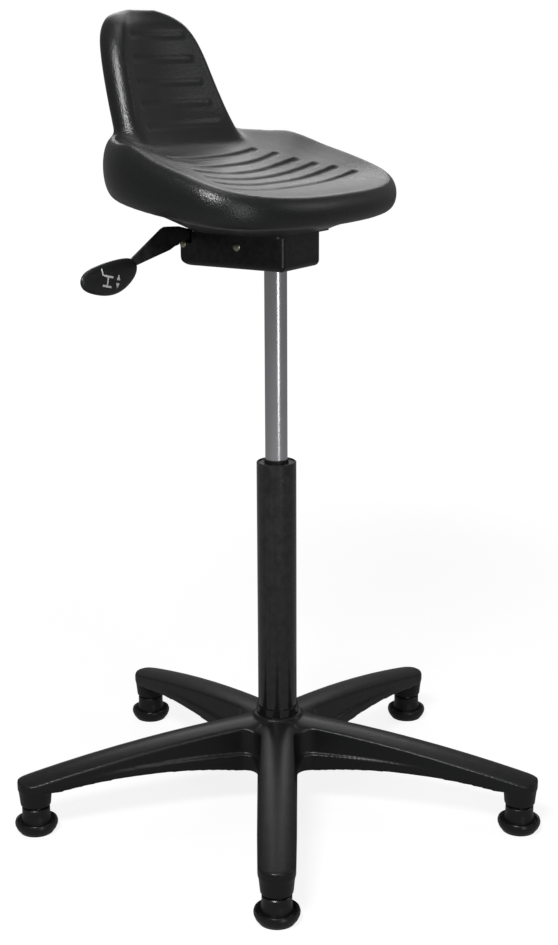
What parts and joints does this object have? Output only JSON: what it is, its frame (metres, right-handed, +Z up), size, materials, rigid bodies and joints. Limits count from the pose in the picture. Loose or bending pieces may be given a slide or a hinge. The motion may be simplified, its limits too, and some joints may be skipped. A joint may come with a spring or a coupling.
{
  "type": "perch stool",
  "caption": "Height-adjustable perch stool: dished forward-sloping seat with low moulded back, gas lift, side release lever and star base on glides.",
  "frame": {"origin": "on the floor, on the axis of the gas lift, at the centre of the circle of glides", "axes": "+Z up along the gas lift; the sitter faces -Y; +X is to the sitter's left, the release lever stands out to -X"},
  "size_m": [0.6439, 0.6611, 1.001],
  "materials": {
    "base_plastic": "moulded, fine grain",
    "trim_plastic": "smooth",
    "tube_paint": "gloss black coat",
    "plain_steel": "zinc plated",
    "bush_plastic": "moulded",
    "buffer_rubber": "matt",
    "cylinder_steel": "ground and polished",
    "valve_brass": "machined",
    "housing_paint": "satin black coat",
    "zinc_pin": "yellow zinc plated",
    "lever_paint": "satin black coat",
    "paddle_plastic": "moulded, fine grain",
    "board_wood": "plywood, bare",
    "glide_plastic": "moulded",
    "sole_rubber": "matt",
    "seat_skin": "grained skin on moulded foam"
  },
  "bodies": {
    "base": {"star_base": "base_plastic", "hub_ring": "trim_plastic", "outer_tube": "tube_paint", "tube_end_plate": "plain_steel", "guide_bush": "bush_plastic", "thrust_washer_lower": "plain_steel", "thrust_balls": "plain_steel", "ball_cage": "bush_plastic", "glide_foot_1": "glide_plastic", "glide_foot_2": "glide_plastic", "glide_foot_3": "glide_plastic", "glide_foot_4": "glide_plastic", "glide_foot_5": "glide_plastic", "glide_grip_ring_1": "plain_steel", "glide_grip_ring_2": "plain_steel", "glide_grip_ring_3": "plain_steel", "glide_grip_ring_4": "plain_steel", "glide_grip_ring_5": "plain_steel", "glide_sole_1": "sole_rubber", "glide_sole_2": "sole_rubber", "glide_sole_3": "sole_rubber", "glide_sole_4": "sole_rubber", "glide_sole_5": "sole_rubber", "glide_stem_1": "plain_steel", "glide_stem_2": "plain_steel", "glide_stem_3": "plain_steel", "glide_stem_4": "plain_steel", "glide_stem_5": "plain_steel"},
    "spindle": {"piston_rod": "plain_steel", "retaining_clip": "plain_steel", "clip_washer": "plain_steel", "thrust_washer_upper": "plain_steel", "rubber_buffer": "buffer_rubber", "piston": "bush_plastic", "piston_seal": "buffer_rubber", "piston_nut": "plain_steel"},
    "seat_lift": {"gas_cylinder": "cylinder_steel", "rod_gland": "bush_plastic", "valve_body": "valve_brass", "mechanism_housing": "housing_paint", "taper_socket": "plain_steel", "lever_pivot_pin": "zinc_pin", "lever_stop_pin": "zinc_pin", "seat_plate": "housing_paint", "seat_screws": "plain_steel", "tee_nuts": "plain_steel", "seat_board": "board_wood", "back_strap": "plain_steel", "strap_rivets": "plain_steel", "seat_foam": "seat_skin"},
    "release_lever": {"lever": "lever_paint", "lever_paddle": "paddle_plastic"},
    "release_pin": {"release_pin": "plain_steel"}
  },
  "joints": [
    {"name": "seat_swivel", "type": "hinge", "parent": "base", "child": "spindle", "pos_m": [0, 0, 0], "axis": [0, 0, 1], "continuous": true},
    {"name": "seat_height", "type": "slide", "parent": "spindle", "child": "seat_lift", "axis": [0, 0, 1], "range_m": [-0.236, 0.024]},
    {"name": "lever_tilt", "type": "hinge", "parent": "seat_lift", "child": "release_lever", "pos_m": [0, 0.028, 0.725], "axis": [1, 0, 0], "range_deg": [0, 5.5], "stiffness_Nm_per_rad": 4, "springref_deg": -17.19},
    {"name": "pin_press", "type": "slide", "parent": "seat_lift", "child": "release_pin", "axis": [0, 0, -1], "range_m": [0, 0.003]}
  ],
  "couplings": [
    {"joint": "pin_press", "follows": "lever_tilt", "m_per_rad": 0.0287}
  ]
}
